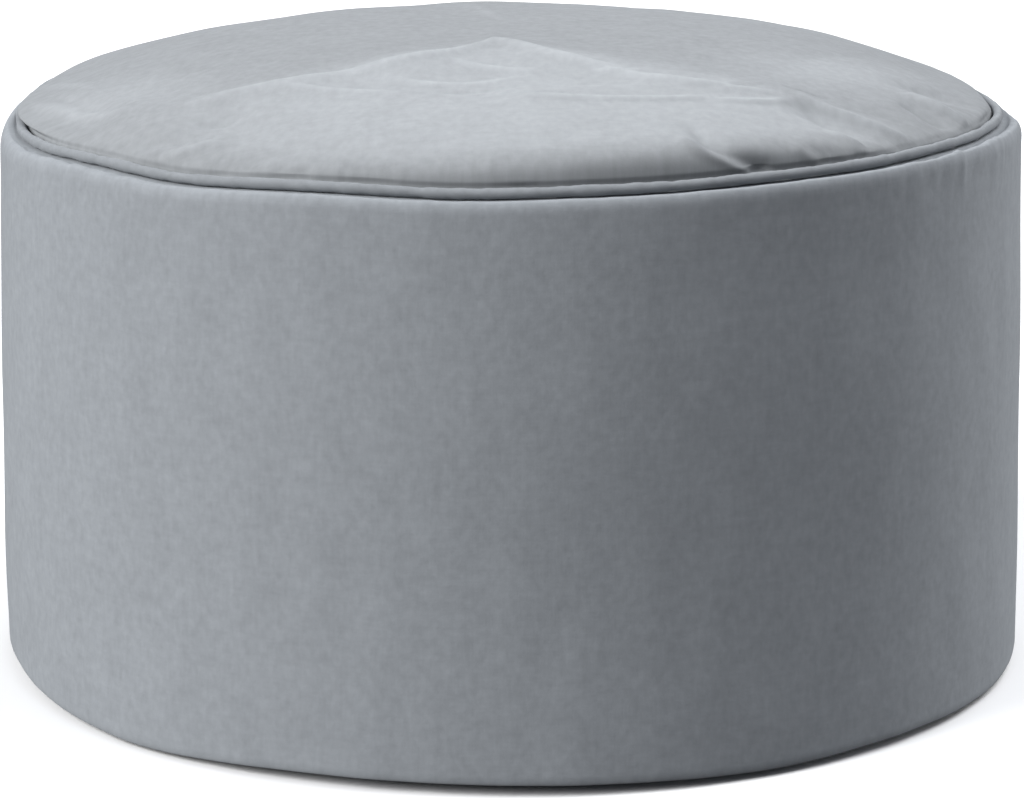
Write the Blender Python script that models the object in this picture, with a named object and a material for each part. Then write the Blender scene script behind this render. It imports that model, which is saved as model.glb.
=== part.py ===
"""Round bean bag footstool of four sewn pieces.

A filled side band stands on a round base panel. A crowned top panel closes it, with
covered piping in the seam between them. Metres, +Z up, origin under the middle of the
base, front towards -Y and right towards +X. A bearing is an angle round the footstool:
0 at the front, 90 at the right, 180 at the back, -90 at the left.
"""

from collections import namedtuple
import math

import bmesh
import bpy
import numpy as np

# Whole footstool
SEGMENTS = 90              # steps round every piece
GAP = 0.0003               # air between two pieces that touch
CLOTH = 0.0020             # thickness of a panel with its coating and padding

# Top seam and its piping
SEAM_HEIGHT = 0.2663       # bottom of the groove that the piping lies in
PIPING_RADIUS = 0.0030     # radius of the covered cord
PIPING_RING = 0.2380       # distance of the cord's middle from the footstool's axis
PIPING_SIDES = 2           # curve bevel resolution of the cord

# Top panel
PANEL_RADIUS = PIPING_RING - PIPING_RADIUS - GAP
PANEL_EDGE_UP = 0.0025     # how far the panel's edge lies above the groove
CROWN_RISE = 0.0414        # from the panel's edge up to its middle
CROWN_POWER = 3.0          # higher is flatter in the middle and steeper at the edge
ROLL_WIDTH = 0.0130        # width of the rolled edge beside the piping
ROLL_RISE = 0.0060         # usual height of the rolled edge
PANEL_RINGS = 14           # rings from the panel's edge to its middle
RING_CROWDING = 1.8        # higher crowds the rings towards the edge
RIM_FADE_POWER = 14.0      # folds die out over the last stretch before the edge

# Side band
BAND_TOP_RADIUS = 0.2500   # just under the shoulder
BAND_LOW_RADIUS = 0.2542   # low down, where the filling spreads
BAND_TOP_HEIGHT = 0.2500
SHOULDER_DROP = 0.0110     # from the groove down to where the wall begins
WALL_RINGS = 9

# Base seam and base panel
BASE_LIFT = 0.0037         # height of the base seam over the floor
FLAT_RADIUS = 0.2360       # the base lies flat on the floor this far out
BASE_RADIUS = 0.2490       # cut edge of the base panel, turned up to the seam
BASE_CURVE_POWER = 1.8
BASE_MIDDLE_RADIUS = 0.1200
BASE_TURN_RINGS = 3
ROLL_UNDER_WIDTH = 0.0026  # the band turns under over this width
ROLL_UNDER_HEIGHT = 0.0080 # and this height
ROLL_UNDER_RINGS = 3

# Cloth colours, linear
BAND_COLOUR = (0.225, 0.245, 0.262, 1.0)
TOP_COLOUR = (0.260, 0.280, 0.296, 1.0)
PIPING_COLOUR = (0.240, 0.260, 0.277, 1.0)
BASE_COLOUR = (0.200, 0.218, 0.234, 1.0)
CLOTH_ROUGHNESS = 0.85

# Soft rises and dips round the footstool: where, how far they reach, and how much.
Bump = namedtuple("Bump", "bearing_deg spread_deg amount")

SEAM_RISES = (
    Bump(-73.0, 20.0, -0.0040),
    Bump(-40.0, 9.0, -0.0017),
    Bump(-5.0, 10.0, -0.0013),
    Bump(48.0, 28.0, 0.0028),
    Bump(80.0, 10.0, 0.0010),
    Bump(100.0, 14.0, -0.0030),
    Bump(-120.0, 24.0, 0.0052),
)
ROLL_RISES = (
    Bump(8.0, 34.0, 0.0050),
    Bump(-82.0, 36.0, -0.0035),
    Bump(92.0, 16.0, -0.0020),
    Bump(124.0, 16.0, 0.0034),
)
BASE_LIFTS = (
    Bump(-42.0, 13.0, -0.0024),
    Bump(-74.0, 10.0, 0.0020),
    Bump(36.0, 10.0, 0.0006),
    Bump(62.0, 10.0, -0.0008),
    Bump(150.0, 30.0, 0.0008),
)

# Places where the filling pushes the wall out, or lets it fall in.
Swell = namedtuple("Swell", "bearing_deg height spread_deg half_height out")

WALL_SWELLS = (
    Swell(-42.0, 0.008, 13.0, 0.030, 0.0016),
    Swell(-74.0, 0.010, 12.0, 0.025, -0.0012),
    Swell(-34.0, 0.085, 16.0, 0.060, -0.0012),
    Swell(-12.0, 0.160, 14.0, 0.070, 0.0010),
    Swell(24.0, 0.110, 18.0, 0.070, -0.0012),
    Swell(52.0, 0.190, 16.0, 0.050, 0.0012),
    Swell(64.0, 0.030, 16.0, 0.040, 0.0010),
    Swell(140.0, 0.100, 24.0, 0.080, 0.0014),
    Swell(-140.0, 0.150, 24.0, 0.080, -0.0012),
)

# Ridges (height above 0) and troughs (below 0) of the top panel, from one end to the
# other over the plan. Each crosses from its line to nothing over its half width.
Fold = namedtuple("Fold", "x0 y0 x1 y1 half_width height")

TOP_FOLDS = (
    # the long crest, its top a little in front of the middle
    Fold(-0.008, -0.064, -0.052, -0.098, 0.020, 0.0024),
    Fold(-0.052, -0.098, -0.170, -0.122, 0.020, 0.0018),
    Fold(-0.008, -0.064, 0.010, -0.100, 0.020, 0.0020),
    Fold(0.010, -0.100, 0.126, -0.129, 0.018, 0.0018),
    # the slack lap across the front half
    Fold(-0.060, -0.156, 0.070, -0.160, 0.034, -0.0018),
    Fold(-0.075, -0.120, -0.020, -0.145, 0.012, -0.0012),
    Fold(0.008, -0.162, 0.122, -0.132, 0.012, 0.0016),
    # folds that run out to the right of the seam
    Fold(0.128, -0.134, 0.174, -0.149, 0.010, 0.0030),
    Fold(0.141, -0.156, 0.157, -0.165, 0.010, -0.0028),
    Fold(0.115, -0.159, 0.158, -0.175, 0.011, 0.0024),
    Fold(0.078, -0.206, 0.100, -0.214, 0.009, 0.0026),
    Fold(0.110, -0.203, 0.130, -0.192, 0.013, -0.0032),
    Fold(0.188, -0.082, 0.215, -0.091, 0.009, 0.0026),
    Fold(0.184, -0.098, 0.198, -0.117, 0.010, -0.0024),
    Fold(0.191, -0.066, 0.211, -0.072, 0.011, -0.0018),
    # dimples and short folds on the left
    Fold(-0.163, -0.158, -0.154, -0.168, 0.013, -0.0026),
    Fold(-0.156, -0.172, -0.132, -0.174, 0.010, 0.0016),
    Fold(-0.214, -0.030, -0.178, -0.108, 0.012, 0.0014),
    Fold(-0.204, -0.072, -0.190, -0.100, 0.010, -0.0016),
    Fold(-0.098, -0.203, -0.046, -0.219, 0.012, -0.0016),
    # the far side
    Fold(-0.190, 0.090, -0.130, 0.130, 0.036, 0.0016),
    Fold(-0.020, 0.120, 0.010, 0.200, 0.024, 0.0014),
    Fold(0.090, 0.160, 0.170, 0.100, 0.040, 0.0014),
)

# The shoulder of the band, from under the piping outwards: how far out from the middle
# of the piping, and how far up from the bottom of the groove.
ShoulderStep = namedtuple("ShoulderStep", "out up")

SHOULDER_STEPS = (
    ShoulderStep(0.0000, 0.0000),
    ShoulderStep(0.0021, 0.0005),
    ShoulderStep(0.0036, 0.0018),
    ShoulderStep(0.0058, 0.0023),
    ShoulderStep(0.0084, 0.0006),
    ShoulderStep(0.0106, -0.0038),
)


def clear_scene():
    """Remove every object, so that only the footstool is left."""
    for item in list(bpy.data.objects):
        bpy.data.objects.remove(item, do_unlink=True)


def cloth_material(name, colour):
    """Matt woven cloth of one colour."""
    material = bpy.data.materials.new(name)
    material.use_nodes = True
    shader = material.node_tree.nodes["Principled BSDF"]
    shader.inputs["Base Color"].default_value = colour
    shader.inputs["Roughness"].default_value = CLOTH_ROUGHNESS
    shader.inputs["Metallic"].default_value = 0.0
    return material


def soft_sum(table, bearing):
    """The sum of a table's bumps at each bearing, each a bell curve of its spread."""
    total = np.zeros_like(bearing)
    for row in table:
        away = (np.degrees(bearing) - row.bearing_deg + 180.0) % 360.0 - 180.0
        total += row.amount * np.exp(-(away / row.spread_deg) ** 2)
    return total


def seam_height(bearing):
    """Height of the groove under the piping."""
    return SEAM_HEIGHT + soft_sum(SEAM_RISES, bearing)


def base_lift(bearing):
    """Height of the base seam over the floor."""
    return BASE_LIFT + soft_sum(BASE_LIFTS, bearing)


def wall_radius(bearing, height):
    """Radius of the band: it spreads towards the floor, and swells here and there."""
    taper = BAND_LOW_RADIUS - BAND_TOP_RADIUS
    radius = BAND_LOW_RADIUS - taper * (height / BAND_TOP_HEIGHT) ** 3
    for row in WALL_SWELLS:
        away = (np.degrees(bearing) - row.bearing_deg + 180.0) % 360.0 - 180.0
        across = (away / row.spread_deg) ** 2
        along = ((height - row.height) / row.half_height) ** 2
        radius = radius + row.out * np.exp(-across - along)
    return radius


def fold_height(x, y):
    """Height of all the ridges and troughs over the plan, by distance from their lines."""
    total = np.zeros_like(x)
    for row in TOP_FOLDS:
        run_x, run_y = row.x1 - row.x0, row.y1 - row.y0
        length2 = run_x ** 2 + run_y ** 2
        along = np.clip(((x - row.x0) * run_x + (y - row.y0) * run_y) / length2, 0.0, 1.0)
        away2 = (x - row.x0 - along * run_x) ** 2 + (y - row.y0 - along * run_y) ** 2
        total += row.height * np.exp(-away2 / row.half_width ** 2)
    return total


def crown_height(x, y):
    """Height of the top panel's face: seam, rolled edge, dome and folds."""
    bearing = np.arctan2(x, -y)
    reach = np.minimum(np.hypot(x, y) / PANEL_RADIUS, 1.0)
    inward = np.clip((1.0 - reach) * PANEL_RADIUS / ROLL_WIDTH, 0.0, 1.0)
    roll_rise = ROLL_RISE + soft_sum(ROLL_RISES, bearing)
    roll = roll_rise * np.sqrt(1.0 - (1.0 - inward) ** 2)
    dome = (CROWN_RISE - roll_rise) * (1.0 - reach ** CROWN_POWER)
    edge = SEAM_HEIGHT + PANEL_EDGE_UP + soft_sum(SEAM_RISES, bearing) * reach ** 2
    return edge + roll + dome + fold_height(x, y) * (1.0 - reach ** RIM_FADE_POWER)


def around():
    """The bearing of each step round the footstool."""
    return np.radians(np.arange(SEGMENTS) * 360.0 / SEGMENTS)


def ring_at(radius, height):
    """One ring of points, at a radius and height for each bearing."""
    bearing = around()
    radius = np.broadcast_to(radius, bearing.shape)
    height = np.broadcast_to(height, bearing.shape)
    return np.column_stack((radius * np.sin(bearing), -radius * np.cos(bearing), height))


def crown_ring(reach, depth):
    """A ring of the top panel, moved a depth under its face along the face's normal."""
    step = 0.0002
    face = ring_at(reach * PANEL_RADIUS, 0.0)
    x, y = face[:, 0], face[:, 1]
    face[:, 2] = crown_height(x, y)
    slope_x = (crown_height(x + step, y) - crown_height(x - step, y)) / (2.0 * step)
    slope_y = (crown_height(x, y + step) - crown_height(x, y - step)) / (2.0 * step)
    normal = np.column_stack((-slope_x, -slope_y, np.ones_like(x)))
    normal /= np.linalg.norm(normal, axis=1)[:, None]
    return face - depth * normal


def crown_rings(depth):
    """Every ring of the top panel from near its middle to its edge, at one depth."""
    steps = np.arange(PANEL_RINGS - 1, -1, -1) / PANEL_RINGS
    return [crown_ring(1.0 - step ** RING_CROWDING, depth) for step in steps]


def crown_middle(depth):
    """The middle point of the top panel, at one depth."""
    origin = np.zeros(1)
    return (0.0, 0.0, float(crown_height(origin, origin)[0]) - depth)


def base_curve(radius, bearing):
    """Height of the base panel's lower face: flat, then turned up to the seam."""
    turn = np.clip((radius - FLAT_RADIUS) / (BASE_RADIUS - FLAT_RADIUS), 0.0, None)
    return base_lift(bearing) * turn ** BASE_CURVE_POWER


def base_radii(outer):
    """Radii of the rings over the base, from the middle to an outer radius."""
    turned = np.linspace(FLAT_RADIUS, outer, BASE_TURN_RINGS + 1)
    return [BASE_MIDDLE_RADIUS, *turned]


def ring_edges(body, ring):
    """The edges of a closed ring of corners."""
    return [body.edges.get((ring[i - 1], ring[i])) for i in range(len(ring))]


def extrude_ring(body, ring, points):
    """Extrude a ring of corners and move the new ring to its own points."""
    grown = bmesh.ops.extrude_edge_only(body, edges=ring_edges(body, ring))["geom"]
    fresh = {item for item in grown if isinstance(item, bmesh.types.BMVert)}
    beyond = []
    for corner, point in zip(ring, points):
        ends = [edge.other_vert(corner) for edge in corner.link_edges]
        copy = next(end for end in ends if end in fresh)
        copy.co = point
        beyond.append(copy)
    return beyond


def close_ring(body, ring, middle):
    """Close a ring of corners with a fan of triangles to a middle point."""
    grown = bmesh.ops.extrude_edge_only(body, edges=ring_edges(body, ring))["geom"]
    tips = [item for item in grown if isinstance(item, bmesh.types.BMVert)]
    bmesh.ops.pointmerge(body, verts=tips, merge_co=middle)


def loft(name, rings, first_middle, last_middle, material):
    """A closed body through rings of points, with a fan to a middle point at each end."""
    body = bmesh.new()
    first = bmesh.ops.create_circle(body, segments=SEGMENTS, radius=1.0)["verts"]
    for corner, point in zip(first, rings[0]):
        corner.co = point
    last = first
    for points in rings[1:]:
        last = extrude_ring(body, last, points)
    close_ring(body, first, first_middle)
    close_ring(body, last, last_middle)
    # one way of cutting the quads, so that neighbouring surfaces keep their gap
    bmesh.ops.triangulate(body, faces=body.faces, quad_method="FIXED")
    bmesh.ops.recalc_face_normals(body, faces=body.faces)
    mesh = bpy.data.meshes.new(name)
    body.to_mesh(mesh)
    body.free()
    mesh.shade_smooth()
    mesh.set_sharp_from_angle(angle=math.radians(50.0))
    mesh.materials.append(material)
    piece = bpy.data.objects.new(name, mesh)
    bpy.context.scene.collection.objects.link(piece)
    return piece


def make_top_panel():
    """The crowned top panel, one sheet from its back round its cut edge to its face."""
    back = crown_rings(CLOTH)
    face = crown_rings(0.0)
    material = cloth_material("top_cloth", TOP_COLOUR)
    return loft("top_panel", back + face[::-1], crown_middle(CLOTH), crown_middle(0.0),
                material)


def make_filled_side_band():
    """The side band with its filling, from the crown down the wall to the base."""
    bearing = around()
    groove = seam_height(bearing)
    lift = base_lift(bearing)
    rings = crown_rings(CLOTH + GAP)
    inner_radius = np.hypot(rings[-1][:, 0], rings[-1][:, 1])
    rings.append(ring_at(inner_radius, groove))
    for step in SHOULDER_STEPS:
        rings.append(ring_at(PIPING_RING + step.out, groove + step.up))
    wall_top = groove - SHOULDER_DROP
    wall_foot = lift + ROLL_UNDER_HEIGHT
    for share in np.linspace(0.0, 1.0, WALL_RINGS):
        height = wall_top + (wall_foot - wall_top) * share
        rings.append(ring_at(wall_radius(bearing, height), height))
    foot_radius = wall_radius(bearing, wall_foot)
    for share in np.linspace(0.0, 1.0, ROLL_UNDER_RINGS + 1)[1:]:
        turn = share * math.pi / 2.0
        radius = foot_radius - ROLL_UNDER_WIDTH * (1.0 - math.cos(turn))
        rings.append(ring_at(radius, wall_foot - ROLL_UNDER_HEIGHT * math.sin(turn)))
    edge_radius = BASE_RADIUS + GAP
    rings.append(ring_at(edge_radius, lift))
    for radius in reversed(base_radii(edge_radius)):
        rings.append(ring_at(radius, base_curve(radius, bearing) + CLOTH + GAP))
    material = cloth_material("band_cloth", BAND_COLOUR)
    return loft("filled_side_band", rings, crown_middle(CLOTH + GAP),
                (0.0, 0.0, CLOTH + GAP), material)


def make_base_panel():
    """The round base panel: flat on the floor, its rim turned up to the base seam."""
    bearing = around()
    radii = base_radii(BASE_RADIUS)
    under = [ring_at(radius, base_curve(radius, bearing)) for radius in radii]
    over = [ring_at(radius, base_curve(radius, bearing) + CLOTH) for radius in radii]
    material = cloth_material("base_cloth", BASE_COLOUR)
    return loft("base_panel", under + over[::-1], (0.0, 0.0, 0.0), (0.0, 0.0, CLOTH),
                material)


def make_top_piping():
    """The covered cord in the top seam, a closed ring that follows the groove."""
    curve = bpy.data.curves.new("top_piping", "CURVE")
    curve.dimensions = "3D"
    curve.twist_mode = "Z_UP"
    curve.bevel_depth = PIPING_RADIUS
    curve.bevel_resolution = PIPING_SIDES
    height = seam_height(around()) + GAP + PIPING_RADIUS
    points = ring_at(PIPING_RING, height)
    spline = curve.splines.new("POLY")
    spline.points.add(SEGMENTS - 1)
    for point, place in zip(spline.points, points):
        point.co = (*place, 1.0)
    spline.use_cyclic_u = True
    spline.use_smooth = True
    curve.materials.append(cloth_material("piping_cloth", PIPING_COLOUR))
    piece = bpy.data.objects.new("top_piping", curve)
    bpy.context.scene.collection.objects.link(piece)
    return piece


def main():
    """Build the four pieces of the footstool."""
    clear_scene()
    make_filled_side_band()
    make_top_panel()
    make_top_piping()
    make_base_panel()


main()
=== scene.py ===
"""Looks of a round bean bag footstool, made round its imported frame.

Four sewn pieces replace the frame's plain solids: a filled side band, a creased top
panel, a covered piping in the seam between them, and a base panel. Metres, +Z up, with
the origin under the middle of the base, the front towards -Y and the right towards +X.
A bearing is an angle round the footstool: 0 at the front, 90 at the right, 180 at the
back and -90 at the left.
"""

from dataclasses import dataclass
from enum import Enum
import logging
import math

import bpy
import numpy as np
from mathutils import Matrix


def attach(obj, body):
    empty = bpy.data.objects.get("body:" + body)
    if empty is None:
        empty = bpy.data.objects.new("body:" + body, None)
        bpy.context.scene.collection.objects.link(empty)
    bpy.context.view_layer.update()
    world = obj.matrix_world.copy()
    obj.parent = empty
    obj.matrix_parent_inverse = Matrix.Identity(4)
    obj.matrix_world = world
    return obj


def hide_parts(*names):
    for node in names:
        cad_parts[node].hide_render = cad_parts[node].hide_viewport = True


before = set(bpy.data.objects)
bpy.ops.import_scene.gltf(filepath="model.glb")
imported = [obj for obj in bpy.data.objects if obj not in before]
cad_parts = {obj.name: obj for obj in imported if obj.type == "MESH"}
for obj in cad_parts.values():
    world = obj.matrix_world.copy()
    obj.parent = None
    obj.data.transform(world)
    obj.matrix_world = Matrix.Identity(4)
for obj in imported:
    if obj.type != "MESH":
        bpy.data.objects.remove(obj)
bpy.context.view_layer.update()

Grid = np.ndarray  # a number or a point for each place of a grid
Socket = bpy.types.NodeSocket
Colour = tuple[float, float, float]
LOG = logging.getLogger("footstool")
ROOT_BODY = "root"
WEAVE_MAP = "weave"  # UV map that lies along the threads, in metres
WEAR_AND_LIGHT_LAYER = "wear_and_light"  # where the cloth is scuffed by use, and on the top panel painted highlight, from 0 to 1
FRONT_CLOSENESS = 0.65  # how much closer together the steps round lie in front
PANEL_THICKNESS = 0.002
MILLIMETRE = 0.001


# ---- shapes of cloth


@dataclass(frozen=True)
class Bump:
    """A soft rise or dip round the footstool: where, how far it reaches, how much."""

    bearing_deg: float
    spread_deg: float
    amount: float


Bumps = tuple[Bump, ...]

@dataclass(frozen=True)
class Swell:
    """A place where the filling pushes the wall out, or lets it fall in."""

    bearing_deg: float
    height: float
    spread_deg: float
    half_height: float
    out: float


@dataclass(frozen=True)
class Fold:
    """A straight ridge (height above 0) or trough (below 0) on cloth laid out flat.

    Its ends are two coordinates each; half width and height are in millimetres.
    """

    u0: float
    v0: float
    u1: float
    v1: float
    half_width: float
    height: float


@dataclass(frozen=True)
class Crease:
    """A narrow crease from a start past a bend to an end, in millimetres.

    It is highest halfway and dies out at both ends. The lean, from -1 to 1, makes the
    side on the right of its run (above 0) or on the left (below 0) the steeper one.
    """

    x0: float
    y0: float
    xb: float
    yb: float
    x1: float
    y1: float
    half_width: float
    height: float
    lean: float = 0.0


@dataclass(frozen=True)
class Step:
    """A point of the band's shoulder: out from the piping's middle, up from the groove.

    It lies at up where the groove beside the piping is closed, at open_up where it gapes.
    """

    out: float
    up: float
    open_up: float


def bell(distance: Grid) -> Grid:
    """The bell curve exp(-d * d)."""
    return np.exp(-distance ** 2)


def smooth_step(share: Grid) -> Grid:
    """The smooth step t * t * (3 - 2 t), with t kept between 0 and 1."""
    t = np.clip(share, 0.0, 1.0)
    return t * t * (3.0 - 2.0 * t)


def turn_between(bearing: Grid, other_deg: float) -> Grid:
    """The angle in degrees from another bearing, between -180 and 180."""
    return (np.degrees(bearing) - other_deg + 180.0) % 360.0 - 180.0


def soft_sum(bumps: Bumps, bearing: Grid) -> Grid:
    """The sum of a table's bumps at each bearing, each a bell curve of its spread."""
    total = np.zeros_like(bearing)
    for row in bumps:
        total += row.amount * bell(turn_between(bearing, row.bearing_deg) / row.spread_deg)
    return total


def from_line(u: Grid, v: Grid, run_u: Grid, run_v: Grid) -> tuple[Grid, Grid]:
    """How places lie to a straight line.

    Args:
        u, v: The places, counted from the line's start.
        run_u, run_v: The line's run.

    Returns:
        The share of the way along the line, from 0 to 1, and the distance from it.
    """
    along = np.clip((u * run_u + v * run_v) / (run_u ** 2 + run_v ** 2), 0.0, 1.0)
    return along, np.hypot(u - along * run_u, v - along * run_v)


def fold_sum(folds: tuple[Fold, ...], u: Grid, v: Grid, unit: float = 1.0) -> Grid:
    """Height of straight folds: a bell curve of the distance to each line.

    Args:
        folds: The folds.
        u, v: Places on the cloth, v in millimetres.
        unit: Millimetres in a unit of u.

    Returns:
        The height at each place, in metres.
    """
    total = np.zeros_like(v)
    for row in folds:
        run_u = (row.u1 - row.u0) * unit
        away = from_line((u - row.u0) * unit, v - row.v0, run_u, row.v1 - row.v0)[1]
        total += row.height * bell(away / row.half_width)
    return total * MILLIMETRE


@dataclass(frozen=True)
class Waves:
    """Soft unevenness of cloth: its size, wavelength both ways, count and seed."""

    size: float
    wave_u: float
    wave_v: float
    count: int
    seed: int

    def over(self, u: Grid, v: Grid) -> Grid:
        """The unevenness over the cloth.

        Args:
            u, v: Places over the cloth, in metres.

        Returns:
            The sum of cos(a * u + b * v + phase) with drawn a, b and phase, scaled so
            that its spread is about the size.
        """
        draw = np.random.default_rng(self.seed)
        wave = np.array((self.wave_u, self.wave_v))
        total = np.zeros(np.broadcast(u, v).shape)
        for _ in range(self.count):
            a, b = draw.normal(0.0, 1.0, 2) * 2.0 * math.pi / wave
            total += np.cos(a * u + b * v + draw.uniform(0.0, 2.0 * math.pi))
        return self.size * (total * math.sqrt(2.0 / self.count))


@dataclass(frozen=True)
class Puckers:
    """Small puckers beside a seam, one after another round the footstool."""

    depth: float
    calm: float  # their strength where nothing gathers the seam
    gathers: Bumps  # where the seam is gathered more
    seed: int
    widths_deg: tuple[float, float] = (0.5, 1.3)
    spacing_deg: tuple[float, float] = (1.2, 4.5)

    def along(self, bearing: Grid) -> Grid:
        """Height of the puckers at each bearing.

        Args:
            bearing: Bearings in radians.

        Returns:
            The sum of narrow bell curves at drawn bearings, with drawn signs and
            widths, times the strength there and the depth.
        """
        draw = np.random.default_rng(self.seed)
        total = np.zeros_like(bearing)
        place = -180.0
        while place < 180.0:
            width = draw.uniform(*self.widths_deg)
            size = draw.uniform(-1.0, 1.0)
            total += size * bell(turn_between(bearing, place) / width)
            place += draw.uniform(*self.spacing_deg)
        return self.depth * (total * (self.calm + soft_sum(self.gathers, bearing)))


# ---- form of the footstool


@dataclass(frozen=True)
class SeamForm:
    """The top seam: a groove round the footstool, with the piping lying in it."""

    height: float = 0.2663
    ring: float = 0.238  # distance of the piping's middle from the axis
    piping_radius: float = 0.003
    gap: float = 0.0003  # air between two pieces that touch
    rises: Bumps = (
        Bump(-73, 20, -0.004), Bump(-40, 9, -0.0017), Bump(-5, 10, -0.0013),
        Bump(48, 28, 0.0028), Bump(80, 10, 0.001), Bump(100, 14, -0.003),
        Bump(-120, 24, 0.0052), Bump(-33, 11, -0.0013), Bump(14, 10, -0.0004),
        Bump(42, 10, -0.0007), Bump(106, 12, 0.002), Bump(-112, 16, 0.001),
    )
    shifts: Bumps = (Bump(-90, 22, 0.0022), Bump(101, 12, 0.002))
    shift_from: float = 0.205  # the shift grows from here outwards
    shift_full: float = 0.23  # and is full from here
    shift_to: float = 0.2515  # and has died out here, on the wall
    shift_fade: float = 0.0085
    shift_low: float = 0.235  # nothing below this height is shifted
    shift_rise: float = 0.015

    def shifted(self, points: Grid) -> Grid:
        """The points with the whole seam pushed outwards where the filling is fullest.

        Args:
            points: Points round the footstool, made with the seam as a true circle.

        Returns:
            The points, moved away from the axis by the sum of the shifts times a
            smooth step inwards, one outwards and one downwards.
        """
        radius = np.hypot(points[..., 0], points[..., 1])
        bearing = np.arctan2(points[..., 0], -points[..., 1])
        grown = (radius - self.shift_from) / (self.shift_full - self.shift_from)
        share = smooth_step(grown) * smooth_step((self.shift_to - radius) / self.shift_fade)
        share = share * smooth_step((points[..., 2] - self.shift_low) / self.shift_rise)
        grow = 1.0 + soft_sum(self.shifts, bearing) * share / np.maximum(radius, MILLIMETRE)
        return points * np.stack((grow, grow, np.ones_like(grow)), axis=-1)

    def rise(self, bearing: Grid) -> Grid:
        """How far the seam lies above its usual height."""
        return soft_sum(self.rises, bearing)

    def groove(self, bearing: Grid) -> Grid:
        """Height of the bottom of the groove."""
        return self.height + self.rise(bearing)


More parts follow.
